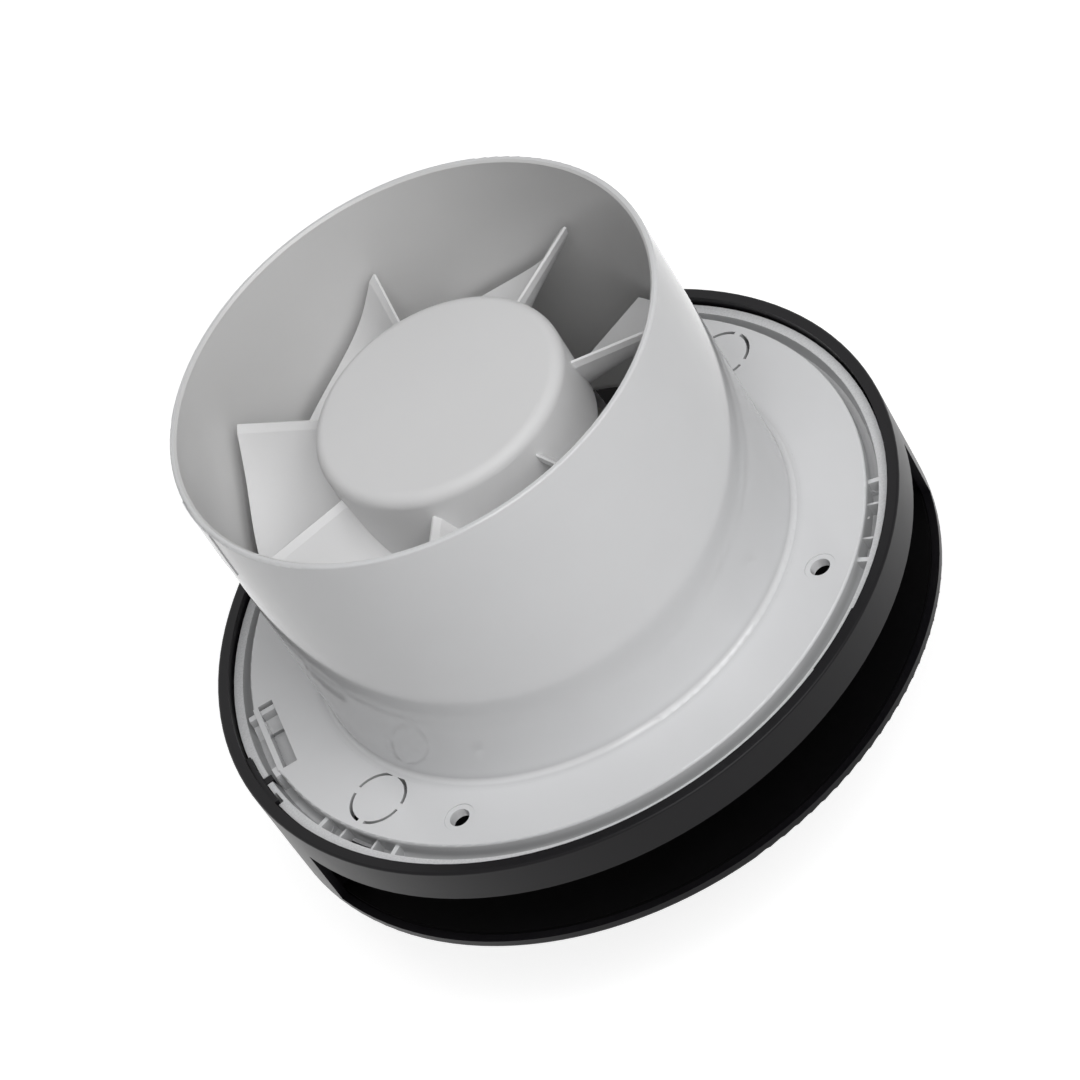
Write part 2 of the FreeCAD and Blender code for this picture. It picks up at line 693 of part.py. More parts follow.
def bobbin():
    tube = frame_round_pole(0, BOBBIN_T, SHOE_R, CAVITY_HALF, BOBBIN_T / 2)
    inner = frame_round_pole(0, FLANGE_GROW, SHOE_R, SHOE_R + FLANGE_T, COIL_CORNER)
    outer = frame_round_pole(0, FLANGE_GROW, CAVITY_HALF - FLANGE_T, CAVITY_HALF, COIL_CORNER)
    return joined([tube, inner, outer])


def coil():
    return frame_round_pole(BOBBIN_T, BOBBIN_T + COIL_BUILD,
                            SHOE_R + FLANGE_T, CAVITY_HALF - FLANGE_T, COIL_CORNER)


def bearing_bracket(bar_z, foot_z0, foot_z1, boss_z, screw_r):
    """A cast bridge: a bar across the motor, a foot at each end and a boss for the bearing."""
    half = BRACKET_W / 2
    bar = block(-STACK_HALF, STACK_HALF, -half, half, bar_z, bar_z + BRACKET_T)
    foot = block(CAVITY_HALF, STACK_HALF, -half, half, foot_z0, foot_z1)
    boss = disc(BEARING_BOSS_R, boss_z, boss_z + BEARING_L)
    body = joined([bar, foot, turned(foot, 180), boss])
    body = body.cut(disc(BEARING_R, boss_z, boss_z + BEARING_L))
    for side in (0, 180):
        hole = disc(screw_r, min(bar_z, foot_z0), max(bar_z + BRACKET_T, foot_z1), LIMB_X)
        body = body.cut(turned(hole, side))
    return body.removeSplitter()


def bearing_bracket_lower():
    return bearing_bracket(CARRIER_TOP, CARRIER_TOP + BRACKET_T, STACK_Z, LOWER_BEARING_Z,
                           MOTOR_SCREW_R + SCREW_CLEARANCE)


def bearing_bracket_upper():
    return bearing_bracket(UPPER_BAR_Z, STACK_TOP, UPPER_BAR_Z, UPPER_BEARING_Z, MOTOR_SCREW_R)


def bearing(z0):
    return ring(SHAFT_R + RUNNING_CLEARANCE, BEARING_R, z0, z0 + BEARING_L)


def motor_screws():
    head = disc(MOTOR_SCREW_HEAD_R, INLET_Z - MOTOR_SCREW_HEAD_H, INLET_Z, LIMB_X)
    shank = disc(MOTOR_SCREW_R, INLET_Z, UPPER_BAR_Z + BRACKET_T, LIMB_X)
    screw = head.fuse(shank)
    return Part.makeCompound([screw, turned(screw, 180)])


def insert_box(grow, y_grow):
    """The space of one terminal insert in the block, before it is put at its pole."""
    half = INSERT_W / 2 + grow
    long_half = TERMINAL_LENGTH / 2 - INSERT_END + y_grow
    return block(-half, half, -long_half, long_half, WIRE_Z - half, WIRE_Z + half)


def wire_bore(length):
    bore = Part.makeCylinder(WIRE_BORE_R, length, Vector(0, -length / 2, WIRE_Z), Vector(0, 1, 0))
    return bore


def at_poles(shape):
    return [moved(shape, terminal_centre_x() + side * POLE_PITCH, 0) for side in (-0.5, 0.5)]


def terminal_screw(grow=0.0):
    """One wire screw: its shank ends in the insert and its head stands below it in the block."""
    head_top = WIRE_Z - INSERT_W / 2
    head = disc(TERMINAL_SCREW_HEAD_R + grow, TERMINAL_Z, head_top)
    return head.fuse(disc(TERMINAL_SCREW_R, head_top, WIRE_Z - WIRE_BORE_R))


def terminal_screw_set(grow=0.0):
    pair = []
    for y in (-TERMINAL_SCREW_PITCH / 2, TERMINAL_SCREW_PITCH / 2):
        pair += at_poles(moved(terminal_screw(grow), 0, y))
    return pair


def terminal_block():
    half = TERMINAL_LENGTH / 2
    body = block(TERMINAL_X, TERMINAL_X + TERMINAL_W, -half, half, TERMINAL_Z, PLATE_UNDER)
    wire_way = Part.makeCylinder(WIRE_BORE_R, TERMINAL_LENGTH, Vector(0, -half, WIRE_Z), Vector(0, 1, 0))
    for cut in at_poles(insert_box(0, 0)) + at_poles(wire_way) + terminal_screw_set(SCREW_CLEARANCE):
        body = body.cut(cut)
    return turned(body, TERMINAL_ANGLE)


def terminal_inserts():
    bar = insert_box(0, 0).cut(wire_bore(TERMINAL_LENGTH))
    for y in (-TERMINAL_SCREW_PITCH / 2, TERMINAL_SCREW_PITCH / 2):
        bar = bar.cut(moved(disc(TERMINAL_SCREW_R, WIRE_Z - INSERT_W / 2, WIRE_Z), 0, y))
    return Part.makeCompound([turned(b, TERMINAL_ANGLE) for b in at_poles(bar)])


def terminal_screws():
    return Part.makeCompound([turned(s, TERMINAL_ANGLE) for s in terminal_screw_set()])


def cable_clamp():
    top = PLATE_UNDER - CLAMP_POST_H
    half = CLAMP_POST_PITCH / 2 + CLAMP_POST_R
    centre = clamp_centre_x()
    bar = block(centre - half, centre + half, -CLAMP_W / 2, CLAMP_W / 2, top - CLAMP_T, top)
    for side in (-0.5, 0.5):
        bar = bar.cut(disc(CLAMP_SCREW_R + SCREW_CLEARANCE, top - CLAMP_T, top,
                           centre + side * CLAMP_POST_PITCH))
    return turned(bar, CLAMP_ANGLE)


def cable_clamp_screws():
    seat = PLATE_UNDER - CLAMP_POST_H - CLAMP_T
    screws = []
    for side in (-0.5, 0.5):
        x = clamp_centre_x() + side * CLAMP_POST_PITCH
        head = disc(CLAMP_SCREW_HEAD_R, seat - CLAMP_SCREW_HEAD_H, seat, x)
        screw = head.fuse(disc(CLAMP_SCREW_R, seat, PLATE_UNDER, x))
        screws.append(turned(screw, CLAMP_ANGLE))
    return Part.makeCompound(screws)


def lead_path(start, corners, end, radius):
    """Straight runs joined by tangent arcs of one radius."""
    points = [start] + corners + [end]
    edges = []
    here = start
    for before, corner, after in zip(points, points[1:], points[2:]):
        back = before.sub(corner).normalize()
        ahead = after.sub(corner).normalize()
        opening = back.getAngle(ahead)
        run = radius / math.tan(opening / 2)
        enter = corner.add(Vector(back).multiply(run))
        leave = corner.add(Vector(ahead).multiply(run))
        toward = back.add(ahead).normalize()
        inside = radius / math.sin(opening / 2) - radius
        edges.append(Part.LineSegment(here, enter).toShape())
        edges.append(Part.Arc(enter, corner.add(toward.multiply(inside)), leave).toShape())
        here = leave
    edges.append(Part.LineSegment(here, end).toShape())
    return Part.Wire(edges)


def motor_lead(order, pole_side):
    """A lead from the front bobbin down under the inlet and into one pole of the terminal block."""
    start = Vector(order * LEAD_SPACING, -CAVITY_HALF + FLANGE_T / 2, STACK_Z - FLANGE_GROW)
    entry_y = -TERMINAL_LENGTH / 2
    turn = FreeCAD.Rotation(Vector(0, 0, 1), TERMINAL_ANGLE)
    pole_x = terminal_centre_x() + pole_side * POLE_PITCH
    end = turn.multVec(Vector(pole_x, entry_y, WIRE_Z))
    corner_y = entry_y - 2 * LEAD_BEND_R - LEAD_SPACING * (pole_side + 0.5)
    corner = turn.multVec(Vector(pole_x, corner_y, WIRE_Z))
    below = Vector(start.x, start.y, WIRE_Z)
    path = lead_path(start, [below, corner], end, LEAD_BEND_R)
    profile = Part.Wire(Part.makeCircle(LEAD_R, start, Vector(0, 0, 1)))
    lead = path.makePipeShell([profile], True, False)
    expected = math.pi * LEAD_R ** 2 * path.Length
    print("lead length", round(path.Length, 1), "volume ratio", round(lead.Volume / expected, 4))
    return lead


def cover_wall():
    """The full tapered wall of the cover, before the slots are cut."""
    rim_in = SKIRT_R + COVER_GAP
    wall_top = COVER_R - COVER_WALL
    front_r = cover_outer_r(FRONT_Z)
    front_flat = front_r - FRONT_ROUND
    shoulder = RIM_RISE - RIM_ROUND
    return revolved((rim_in, RIM_RISE), [
        (COVER_R - RIM_ROUND, RIM_RISE),
        bend(COVER_R - RIM_ROUND, shoulder, RIM_ROUND, 45) + (cover_outer_r(shoulder), shoulder),
        (cover_outer_r(FRONT_Z + FRONT_ROUND), FRONT_Z + FRONT_ROUND),
        bend(front_flat, FRONT_Z + FRONT_ROUND, FRONT_ROUND, -45) + (front_flat, FRONT_Z),
        (front_r - COVER_WALL, FRONT_Z),
        (wall_top, -RIM_T - (wall_top - rim_in)),
        (rim_in, -RIM_T),
    ])


def panel_ledges():
    """Shelves inside the two pillars that the front panel seats on."""
    front_r = cover_outer_r(FRONT_Z)
    half = LEDGE_SPAN_ANGLE / 2
    ledge = sector(front_r - COVER_WALL - LEDGE_W, front_r - COVER_WALL / 2,
                   PANEL_SEAT_Z, PANEL_SEAT_Z + LEDGE_T, -half, half)
    return around(ledge, SLOT_COUNT)


def peg_places():
    """Plan positions of the snap pegs, two at each ledge."""
    r = cover_outer_r(FRONT_Z) - COVER_WALL - PEG_INSET
    places = []
    for pillar in range(SLOT_COUNT):
        for side in (-PEG_SPREAD_ANGLE, PEG_SPREAD_ANGLE):
            a = math.radians(360.0 * pillar / SLOT_COUNT + side)
            places.append((r * math.cos(a), r * math.sin(a)))
    return places


def snap_tongues():
    """Tongues that rise from shelves on the rim ring into the latch slits of the housing."""
    half = TONGUE_SPAN_ANGLE / 2
    r_in = TROUGH_R - LATCH_SLIT_W + TONGUE_GAP
    shelf_top = SKIRT_Z - COVER_GAP
    shelf = sector(r_in, COVER_R - COVER_WALL, SLOT_TOP, shelf_top, -half, half)
    shelf = shelf.common(disc(cover_outer_r(SLOT_TOP) - COVER_WALL / 2, SLOT_TOP, shelf_top))
    tongue = sector(r_in, TROUGH_R - TONGUE_GAP, SLOT_TOP, FLOOR_Z + TONGUE_ENTRY, -half, half)
    return around(shelf, LATCH_COUNT, LATCH_ANGLE) + around(tongue, LATCH_COUNT, LATCH_ANGLE)


def release_lugs():
    """The inward steps of the rim that fill the reliefs in the skirt, and the key in the skirt's gap."""
    lug = sector(SKIRT_R - RELIEF_DEPTH + LUG_GAP, COVER_R - COVER_WALL, -LUG_H, -LUG_DROP,
                 RELIEF_START_ANGLE + LUG_MARGIN_ANGLE, RELIEF_END_ANGLE - LUG_MARGIN_ANGLE)
    key = sector(TROUGH_R + KEY_GAP, SKIRT_R, -LUG_H, -SKIRT_DROP,
                 RELIEF_GAP_START_ANGLE + LUG_MARGIN_ANGLE, RELIEF_GAP_END_ANGLE - LUG_MARGIN_ANGLE)
    return around(lug, RELIEF_COUNT) + [key]


def cover_frame():
    body = joined([cover_wall()] + release_lugs() + panel_ledges() + snap_tongues())
    half = SLOT_SPAN_ANGLE / 2
    slot = sector(cover_outer_r(FRONT_Z) - COVER_WALL - OVERSHOOT, COVER_R + OVERSHOOT,
                  SLOT_BOTTOM, SLOT_TOP, -half, half)
    for cut in around(slot, SLOT_COUNT, 180.0 / SLOT_COUNT):
        body = body.cut(cut)
    for x, y in peg_places():
        body = body.cut(disc(PEG_R + PEG_PLAY, PANEL_SEAT_Z, PANEL_SEAT_Z + LEDGE_T, x, y))
    return body.removeSplitter()


def front_panel():
    r = cover_outer_r(FRONT_Z) - COVER_WALL - PANEL_GAP
    flat = r - PANEL_EDGE_ROUND
    plate = revolved((0, FRONT_Z), [
        (flat, FRONT_Z),
        bend(flat, FRONT_Z + PANEL_EDGE_ROUND, PANEL_EDGE_ROUND, -45) + (r, FRONT_Z + PANEL_EDGE_ROUND),
        (r, PANEL_SEAT_Z),
        (0, PANEL_SEAT_Z),
    ])
    head_z = PANEL_SEAT_Z + LEDGE_T + PEG_PLAY
    pegs = []
    for x, y in peg_places():
        pegs.append(disc(PEG_R, PANEL_SEAT_Z, head_z, x, y))
        pegs.append(Part.makeCone(PEG_HEAD_R, PEG_R, PEG_HEAD_H, Vector(x, y, head_z)))
    return joined([plate] + pegs)


def nodes():
    return {
        "housing_duct": housing_duct(),
        "housing_plate": housing_plate(),
        "motor_carrier": motor_carrier(),
        "impeller": impeller(),
        "hub_clip": hub_clip(),
        "shaft": shaft(),
        "rotor_core": rotor_core(),
        "thrust_washers": thrust_washers(),
        "stator_core": stator_core(),
        "bobbin_rear": bobbin(),
        "bobbin_front": turned(bobbin(), 180),
        "coil_rear": coil(),
        "coil_front": turned(coil(), 180),
        "bearing_bracket_lower": bearing_bracket_lower(),
        "bearing_bracket_upper": bearing_bracket_upper(),
        "bearing_lower": bearing(LOWER_BEARING_Z),
        "bearing_upper": bearing(UPPER_BEARING_Z),
        "motor_screws": motor_screws(),
        "terminal_block": terminal_block(),
        "terminal_inserts": terminal_inserts(),
        "terminal_screws": terminal_screws(),
        "cable_clamp": cable_clamp(),
        "cable_clamp_screws": cable_clamp_screws(),
        "motor_lead_live": motor_lead(1, -0.5),
        "motor_lead_neutral": motor_lead(-1, 0.5),
        "cover_frame": cover_frame(),
        "front_panel": front_panel(),
    }


os.makedirs("parts", exist_ok=True)
for name, shape in nodes().items():
    shape.exportStep("parts/" + name + ".step")
    print(name, "solids", len(shape.Solids), "valid", shape.isValid(), "volume", round(shape.Volume, 1))
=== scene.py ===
import json
import math

import bpy
from mathutils import Euler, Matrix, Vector


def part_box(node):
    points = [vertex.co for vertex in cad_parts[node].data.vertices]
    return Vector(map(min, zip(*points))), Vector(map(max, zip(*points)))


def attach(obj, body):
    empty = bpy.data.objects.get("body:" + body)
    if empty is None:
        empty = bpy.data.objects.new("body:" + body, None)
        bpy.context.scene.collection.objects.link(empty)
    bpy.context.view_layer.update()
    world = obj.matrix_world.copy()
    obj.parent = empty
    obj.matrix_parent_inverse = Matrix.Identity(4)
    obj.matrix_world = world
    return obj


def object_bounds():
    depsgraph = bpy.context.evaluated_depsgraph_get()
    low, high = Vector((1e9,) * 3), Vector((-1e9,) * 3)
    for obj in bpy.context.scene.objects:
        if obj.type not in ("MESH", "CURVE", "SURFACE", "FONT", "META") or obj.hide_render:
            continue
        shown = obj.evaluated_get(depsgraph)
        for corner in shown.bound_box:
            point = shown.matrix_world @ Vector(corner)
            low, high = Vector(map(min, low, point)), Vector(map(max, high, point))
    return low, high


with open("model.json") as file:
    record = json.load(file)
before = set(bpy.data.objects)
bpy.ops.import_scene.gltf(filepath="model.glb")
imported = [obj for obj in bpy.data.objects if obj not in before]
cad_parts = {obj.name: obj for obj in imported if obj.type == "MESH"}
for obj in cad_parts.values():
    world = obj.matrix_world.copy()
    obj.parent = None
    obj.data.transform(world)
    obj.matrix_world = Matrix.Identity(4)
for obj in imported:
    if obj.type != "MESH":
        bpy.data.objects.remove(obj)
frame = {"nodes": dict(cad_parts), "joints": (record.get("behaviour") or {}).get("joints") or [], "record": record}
cad_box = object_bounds()
nodes = frame["nodes"]

# Camera: place in metres, turn in degrees, lens and sensor in millimetres
CAMERA_PLACE = (-0.028194, -0.849495, 0.767577)
CAMERA_TURN = (43.07437, 24.26152, -25.72517)
CAMERA_LENS = 200.0
SENSOR = 36.0

# Floor, just under the cover when it is pulled off
COVER_TRAVEL = next(joint["range_m"][1] for joint in frame["joints"] if joint["name"] == "cover_pull")
FLOOR_GAP = 0.0003
FLOOR_Z = cad_box[0][2] - COVER_TRAVEL - FLOOR_GAP
FLOOR_HALF = 6.0
FLOOR_COLOUR = (0.55, 0.55, 0.55)
FLOOR_ROUGH = 0.9
FLOOR_GLOW = 0.8

# World: the light that it gives, and the white that is seen
AMBIENT = 0.155
WHITE = 1.0

# Softboxes: azimuth and elevation in degrees, power in watts
LAMPS = {
    "key_right": (309, 45, 4.9),
    "key_front": (270, 45, 3.15),
    "top_front": (272, 68, 4.0),
    "low_front": (270, 20, 1.4),
    "rear_left": (135, 20, 0.35),
    "rear_fill": (95, 12, 1.6),
}
LAMP_DISTANCE = 1.4
LAMP_SIZE = 0.6

# Bead round the front panel's edge, with its height above the panel's face
BEAD_HEIGHT = 0.0014
BEAD_R = 0.00035
BEAD_STEPS = 180
BEAD_SIDES = 12

# Noise scales per metre, the range of noise that a tone spans, and the strengths and depth of bumps
FLOW_SCALE = 22.0
WEAR_SCALE = 90.0
TONE_LOW, TONE_HIGH = 0.3, 0.7
GRAIN_STRENGTH = 0.35
MARK_STRENGTH = 0.4
MARK_DEPTH = 0.00003

# White of the housing: dark and pale tone, least and most roughness, grain scale and depth, specular level
HOUSING_FINISH = ((0.75, 0.754, 0.764), (0.78, 0.784, 0.794), 0.07, 0.11, 2600.0, 0.000006, 0.5)
MASK_EDGE = 0.0002

# Spark-textured white of the skirt, outside a radius
SKIRT_FROM_R = 0.0663
SKIRT_DARK, SKIRT_PALE = (0.656, 0.659, 0.668), (0.785, 0.789, 0.799)
SPECK_SCALE = 2400.0
SPECK_LOW, SPECK_HIGH = 0.34, 0.62
SKIRT_ROUGHER = 0.35

# Bore of the duct, inside a radius: a rougher white whose darker tone is painted shade
BORE_TO_R = 0.0484
BORE_SHADED_DARK, BORE_SHADED_PALE = (0.682, 0.68, 0.678), (0.702, 0.7, 0.698)
BORE_SCALE = 40.0
BORE_ROUGHER = 0.25

# Painted shade in the recesses of the white: its reach, the openness that it spans, and its tones
RECESS_SHADE_REACH = 0.004
RECESS_SHADE_SAMPLES = 8
RECESS_SHADE_LOW, RECESS_SHADE_HIGH = 0.35, 0.8
SHADED_TONE, OPEN_TONE = (0.6, 0.6, 0.6), (1, 1, 1)

# Other plastics, with their values in the same order
MOULDED = {
    "impeller_plastic": ((0.82, 0.82, 0.824), (0.845, 0.845, 0.849), 0.42, 0.5, 2600.0, 0.00002, 0.25),
    "black_plastic": ((0.004, 0.0036, 0.0046), (0.006, 0.0054, 0.0068), 0.3, 0.38, 3200.0, 0.00002, 0.175),
    "panel_plastic": ((0.002, 0.0019, 0.0021), (0.0028, 0.0027, 0.0029), 0.5, 0.6, 3200.0, 0.00003, 0.05),
    "bobbin_nylon": ((0.62, 0.6, 0.52), (0.68, 0.66, 0.58), 0.4, 0.5, 2600.0, 0.00003, 0.5),
    "washer_nylon": ((0.6, 0.58, 0.5), (0.66, 0.64, 0.56), 0.4, 0.5, 2600.0, 0.00003, 0.5),
    "terminal_plastic": ((0.64, 0.64, 0.62), (0.7, 0.7, 0.68), 0.35, 0.45, 2600.0, 0.00003, 0.5),
    "brown_insulation": ((0.07, 0.026, 0.01), (0.085, 0.032, 0.013), 0.35, 0.45, 1800.0, 0.00003, 0.5),
    "blue_insulation": ((0.011, 0.04, 0.2), (0.014, 0.05, 0.24), 0.35, 0.45, 1800.0, 0.00003, 0.5),
}

# Metals: dark and pale tone, least and most roughness, scale of the marks, their stretch and their depth
EVEN = (1.0, 1.0, 1.0)
STACKED = (0.4, 0.4, 36.0)
GROUND = (1.0, 1.0, 8.0)
WOUND = (1.0, 20.0, 1.0)
METALS = {
    "lamination_steel": ((0.3, 0.3, 0.31), (0.46, 0.46, 0.47), 0.32, 0.5, 60.0, STACKED, 0.00012),
    "rotor_steel": ((0.42, 0.42, 0.43), (0.55, 0.55, 0.56), 0.28, 0.42, 60.0, STACKED, 0.00008),
    "shaft_steel": ((0.6, 0.6, 0.61), (0.68, 0.68, 0.69), 0.16, 0.24, 300.0, GROUND, MARK_DEPTH),
    "spring_steel": ((0.2, 0.2, 0.21), (0.3, 0.3, 0.31), 0.3, 0.42, 260.0, EVEN, MARK_DEPTH),
    "zinc_steel": ((0.55, 0.55, 0.52), (0.66, 0.66, 0.62), 0.24, 0.36, 420.0, EVEN, MARK_DEPTH),
    "die_cast_alloy": ((0.5, 0.5, 0.51), (0.6, 0.6, 0.61), 0.42, 0.56, 900.0, EVEN, 0.00006),
    "bearing_bronze": ((0.42, 0.28, 0.14), (0.52, 0.36, 0.18), 0.4, 0.55, 1400.0, EVEN, 0.00005),
    "copper_winding": ((0.5, 0.17, 0.06), (0.62, 0.24, 0.09), 0.28, 0.4, 90.0, WOUND, 0.0002),
    "terminal_brass": ((0.58, 0.42, 0.17), (0.68, 0.5, 0.22), 0.25, 0.36, 380.0, EVEN, MARK_DEPTH),
}


def new_material(name):
    material = bpy.data.materials.new(name)
    material.use_nodes = True
    tree = material.node_tree
    return material, tree, tree.nodes["Principled BSDF"]


def link(tree, source, out, target, into):
    tree.links.new(source.outputs[out], target.inputs[into])


def noise(tree, scale, detail, rough, stretch=EVEN):
    where = tree.nodes.new("ShaderNodeTexCoord")
    spaced = tree.nodes.new("ShaderNodeMapping")
    spaced.inputs["Scale"].default_value = stretch
    field = tree.nodes.new("ShaderNodeTexNoise")
    field.inputs["Scale"].default_value = scale
    field.inputs["Detail"].default_value = detail
    field.inputs["Roughness"].default_value = rough
    link(tree, where, "Object", spaced, "Vector")
    link(tree, spaced, "Vector", field, "Vector")
    return field


def ramp(tree, source, out, low, high, dark, pale):
    steps = tree.nodes.new("ShaderNodeValToRGB")
    first, last = steps.color_ramp.elements
    first.position, first.color = low, (*dark, 1)
    last.position, last.color = high, (*pale, 1)
    link(tree, source, out, steps, "Fac")
    return steps


def spread(tree, source, out, low, high):
    span = tree.nodes.new("ShaderNodeMapRange")
    span.inputs["To Min"].default_value = low
    span.inputs["To Max"].default_value = high
    link(tree, source, out, span, "Value")
    return span


def bump(tree, source, shader, strength, depth):
    relief = tree.nodes.new("ShaderNodeBump")
    relief.inputs["Strength"].default_value = strength
    relief.inputs["Distance"].default_value = depth
    link(tree, source, "Fac", relief, "Height")
    link(tree, relief, "Normal", shader, "Normal")


def moulded(name, dark, pale, rough_low, rough_high, grain, grain_depth, specular):
    """Injection-moulded plastic: faint flow mottling, uneven gloss and a fine tool grain."""
    material, tree, shader = new_material(name)
    flow = noise(tree, FLOW_SCALE, detail=3.0, rough=0.55)
    tone = ramp(tree, flow, "Fac", TONE_LOW, TONE_HIGH, dark, pale)
    link(tree, tone, "Color", shader, "Base Color")
    wear = noise(tree, WEAR_SCALE, detail=5.0, rough=0.6)
    gloss = spread(tree, wear, "Fac", rough_low, rough_high)
    link(tree, gloss, "Result", shader, "Roughness")
    tool = noise(tree, grain, detail=2.0, rough=0.5)
    bump(tree, tool, shader, GRAIN_STRENGTH, grain_depth)
    shader.inputs["Specular IOR Level"].default_value = specular
    return material


def metal(name, dark, pale, rough_low, rough_high, scale, stretch, depth):
    """Bare, plated or enamelled metal with the marks of how it was made."""
    material, tree, shader = new_material(name)
    marks = noise(tree, scale, detail=4.0, rough=0.6, stretch=stretch)
    tone = ramp(tree, marks, "Fac", TONE_LOW, TONE_HIGH, dark, pale)
    link(tree, tone, "Color", shader, "Base Color")
    gloss = spread(tree, marks, "Fac", rough_low, rough_high)
    link(tree, gloss, "Result", shader, "Roughness")
    bump(tree, marks, shader, MARK_STRENGTH, depth)
    shader.inputs["Metallic"].default_value = 1.0
    return material


def radial_mask(tree, start, full):
    """Grows from nothing at one distance from the duct's axis to one at the other."""
    where = tree.nodes.new("ShaderNodeTexCoord")
    flat = tree.nodes.new("ShaderNodeVectorMath")
    flat.operation = "MULTIPLY"
    flat.inputs[1].default_value = (1, 1, 0)
    link(tree, where, "Object", flat, 0)
    radius = tree.nodes.new("ShaderNodeVectorMath")
    radius.operation = "LENGTH"
    link(tree, flat, 0, radius, 0)
    mask = tree.nodes.new("ShaderNodeMapRange")
    mask.inputs["From Min"].default_value = start
    mask.inputs["From Max"].default_value = full
    link(tree, radius, "Value", mask, "Value")
    return mask


def colour_mix(tree, coat):
    """Puts a coat after what feeds the base colour, and returns the node that mixes them."""
    shader = tree.nodes["Principled BSDF"]
    mix = tree.nodes.new("ShaderNodeMix")
    mix.data_type = "RGBA"
    under, over, mixed = mix.inputs[6], mix.inputs[7], mix.outputs[2]
    tree.links.new(shader.inputs["Base Color"].links[0].from_socket, under)
    tree.links.new(coat.outputs["Color"], over)
    tree.links.new(mixed, shader.inputs["Base Color"])
    return mix


def coat_where(tree, mask, coat, rougher):
    """Gives the masked part of a surface another colour and more roughness."""
    link(tree, mask, "Result", colour_mix(tree, coat), "Factor")
    roughness = tree.nodes["Principled BSDF"].inputs["Roughness"]
    total = tree.nodes.new("ShaderNodeMath")
    total.operation = "MULTIPLY_ADD"
    total.inputs[1].default_value = rougher
    link(tree, mask, "Result", total, 0)
    tree.links.new(roughness.links[0].from_socket, total.inputs[2])
    tree.links.new(total.outputs[0], roughness)


def paint_recess_shade(tree):
    """Painted shade: darkens the base colour where faces close by leave a place little open."""
    openness = tree.nodes.new("ShaderNodeAmbientOcclusion")
    openness.samples = RECESS_SHADE_SAMPLES
    openness.inputs["Distance"].default_value = RECESS_SHADE_REACH
    painted_shade = ramp(tree, openness, "AO", RECESS_SHADE_LOW, RECESS_SHADE_HIGH, SHADED_TONE, OPEN_TONE)
    shaded_colour = colour_mix(tree, painted_shade)
    shaded_colour.blend_type = "MULTIPLY"
    shaded_colour.inputs["Factor"].default_value = 1.0


def housing_white():
    """Glossy white plastic with a spark-textured skirt, a rougher bore with painted shade in its tone, and painted
    shade in the recesses.
    """
    material = moulded("white_plastic", *HOUSING_FINISH)
    tree = material.node_tree
    speck = noise(tree, SPECK_SCALE, detail=4.0, rough=0.7)
    texture = ramp(tree, speck, "Fac", SPECK_LOW, SPECK_HIGH, SKIRT_DARK, SKIRT_PALE)
    skirt = radial_mask(tree, SKIRT_FROM_R, SKIRT_FROM_R + MASK_EDGE)
    coat_where(tree, skirt, texture, SKIRT_ROUGHER)
    # The bore's darker tone is painted shade; its extra roughness is its real duller finish
    flow = noise(tree, BORE_SCALE, detail=3.0, rough=0.55)
    bore_shade = ramp(tree, flow, "Fac", TONE_LOW, TONE_HIGH, BORE_SHADED_DARK, BORE_SHADED_PALE)
    bore = radial_mask(tree, BORE_TO_R + MASK_EDGE, BORE_TO_R)
    coat_where(tree, bore, bore_shade, BORE_ROUGHER)
    # Painted shade in the recesses of the white
    paint_recess_shade(tree)
    return material


def all_materials():
    """One material for each slot of the record."""
    made = {"white_plastic": housing_white()}
    for name, finish in MOULDED.items():
        made[name] = moulded(name, *finish)
    for name, finish in METALS.items():
        made[name] = metal(name, *finish)
    return made


def dress_nodes(materials):
    """Every carried-over solid gets the material of its slot."""
    for part in frame["record"]["subparts"]:
        mesh = nodes[part["node"]].data
        mesh.materials.clear()
        mesh.materials.append(materials[part["material_slot"]])


def add_panel_bead(materials):
    """The bead that closes the gap between the front panel's edge and the wall of the frame."""
    low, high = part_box("front_panel")
    bpy.ops.mesh.primitive_torus_add(
        major_radius=high[0], minor_radius=BEAD_R, major_segments=BEAD_STEPS, minor_segments=BEAD_SIDES,
        location=(0, 0, low[2] + BEAD_HEIGHT))
    bead = bpy.context.object
    bead.name = "panel_bead"
    bead.data.shade_smooth()
    bead.data.materials.append(materials["panel_plastic"])
    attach(bead, "cover")


def seen_rays(tree):
    """One for camera, glossy and transmission rays, so that reflections show what the camera sees."""
    path = tree.nodes.new("ShaderNodeLightPath")
    either = tree.nodes.new("ShaderNodeMath")
    either.operation = "MAXIMUM"
    link(tree, path, "Is Camera Ray", either, 0)
    link(tree, path, "Is Glossy Ray", either, 1)
    seen = tree.nodes.new("ShaderNodeMath")
    seen.operation = "MAXIMUM"
    link(tree, either, 0, seen, 0)
    link(tree, path, "Is Transmission Ray", seen, 1)
    return seen


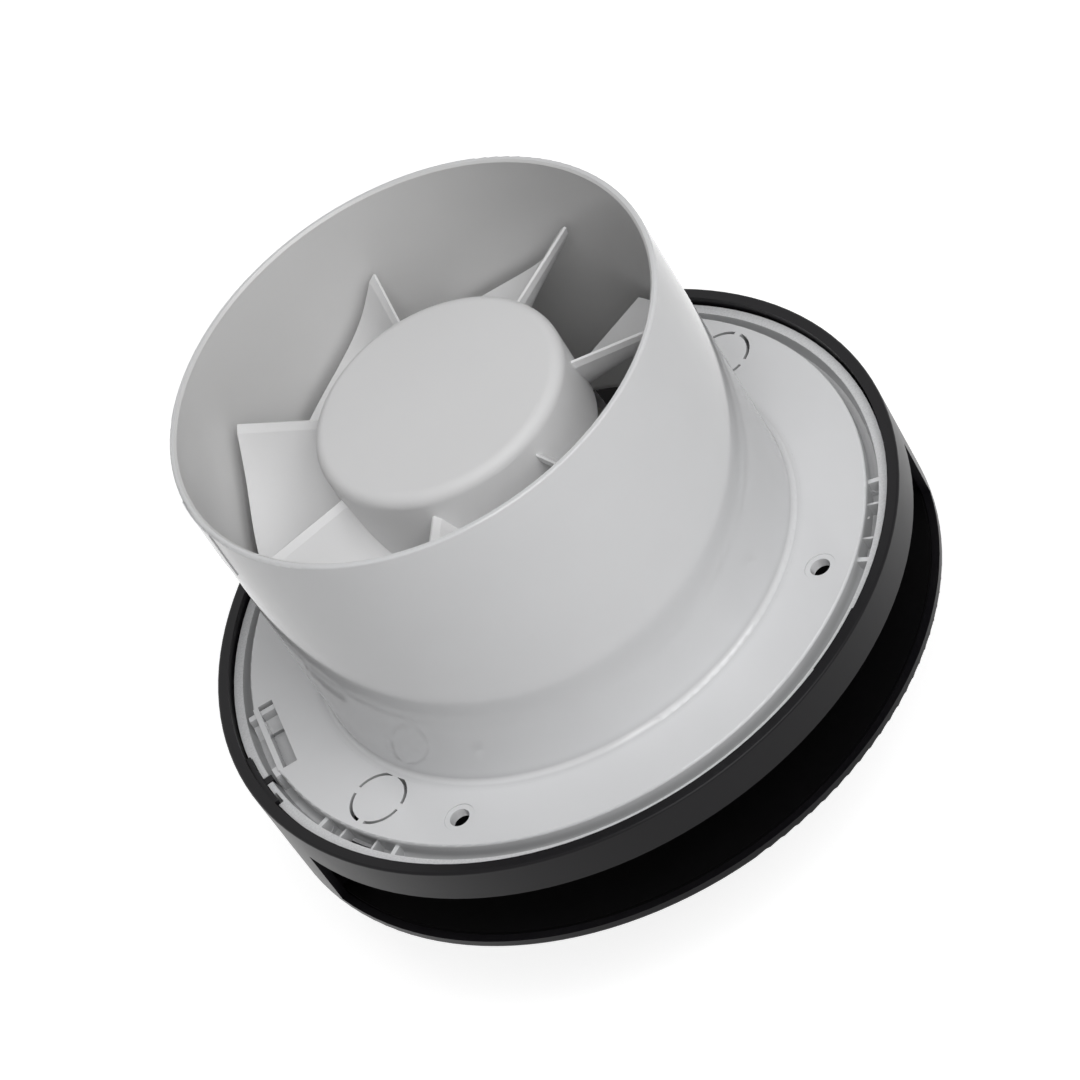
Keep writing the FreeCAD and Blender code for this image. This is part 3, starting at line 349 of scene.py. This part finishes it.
def floor_white():
    """A surface that is lit and takes shadows, and is lifted to white where it is seen."""
    material, tree, shader = new_material("floor_white")
    shader.inputs["Base Color"].default_value = (*FLOOR_COLOUR, 1)
    shader.inputs["Roughness"].default_value = FLOOR_ROUGH
    level = tree.nodes.new("ShaderNodeMath")
    level.operation = "MULTIPLY"
    level.inputs[1].default_value = FLOOR_GLOW
    link(tree, seen_rays(tree), 0, level, 0)
    glow = tree.nodes.new("ShaderNodeEmission")
    link(tree, level, 0, glow, "Strength")
    both = tree.nodes.new("ShaderNodeAddShader")
    link(tree, shader, "BSDF", both, 0)
    link(tree, glow, "Emission", both, 1)
    link(tree, both, "Shader", tree.nodes["Material Output"], "Surface")
    return material


def add_floor():
    mesh = bpy.data.meshes.new("floor")
    corners = [(-1, -1), (1, -1), (1, 1), (-1, 1)]
    mesh.from_pydata([(x * FLOOR_HALF, y * FLOOR_HALF, FLOOR_Z) for x, y in corners], [], [(0, 1, 2, 3)])
    mesh.materials.append(floor_white())
    floor = bpy.data.objects.new("floor", mesh)
    bpy.context.collection.objects.link(floor)


def add_camera():
    data = bpy.data.cameras.new("camera")
    data.sensor_width = SENSOR
    data.lens = CAMERA_LENS
    camera = bpy.data.objects.new("camera", data)
    camera.location = CAMERA_PLACE
    camera.rotation_euler = Euler([math.radians(a) for a in CAMERA_TURN], "XYZ")
    bpy.context.collection.objects.link(camera)
    bpy.context.scene.camera = camera


def add_lamp(name, azimuth, elevation, power):
    """A square softbox on a sphere round the object, facing it."""
    data = bpy.data.lights.new(name, "AREA")
    data.shape = "SQUARE"
    data.size = LAMP_SIZE
    data.energy = power
    lamp = bpy.data.objects.new(name, data)
    around, up = math.radians(azimuth), math.radians(elevation)
    way = Vector((math.cos(around) * math.cos(up), math.sin(around) * math.cos(up), math.sin(up)))
    lamp.location = LAMP_DISTANCE * way
    lamp.rotation_euler = way.to_track_quat("Z", "Y").to_euler()
    bpy.context.collection.objects.link(lamp)


def add_world():
    world = bpy.data.worlds.new("world")
    bpy.context.scene.world = world
    world.use_nodes = True
    tree = world.node_tree
    sky = tree.nodes["Background"]
    sky.inputs["Color"].default_value = (1, 1, 1, 1)
    level = spread(tree, seen_rays(tree), 0, AMBIENT, WHITE)
    link(tree, level, "Result", sky, "Strength")


materials = all_materials()
dress_nodes(materials)
add_panel_bead(materials)
add_camera()
add_floor()
add_world()
for name, (azimuth, elevation, power) in LAMPS.items():
    add_lamp(name, azimuth, elevation, power)
bpy.context.scene.view_settings.view_transform = "Standard"
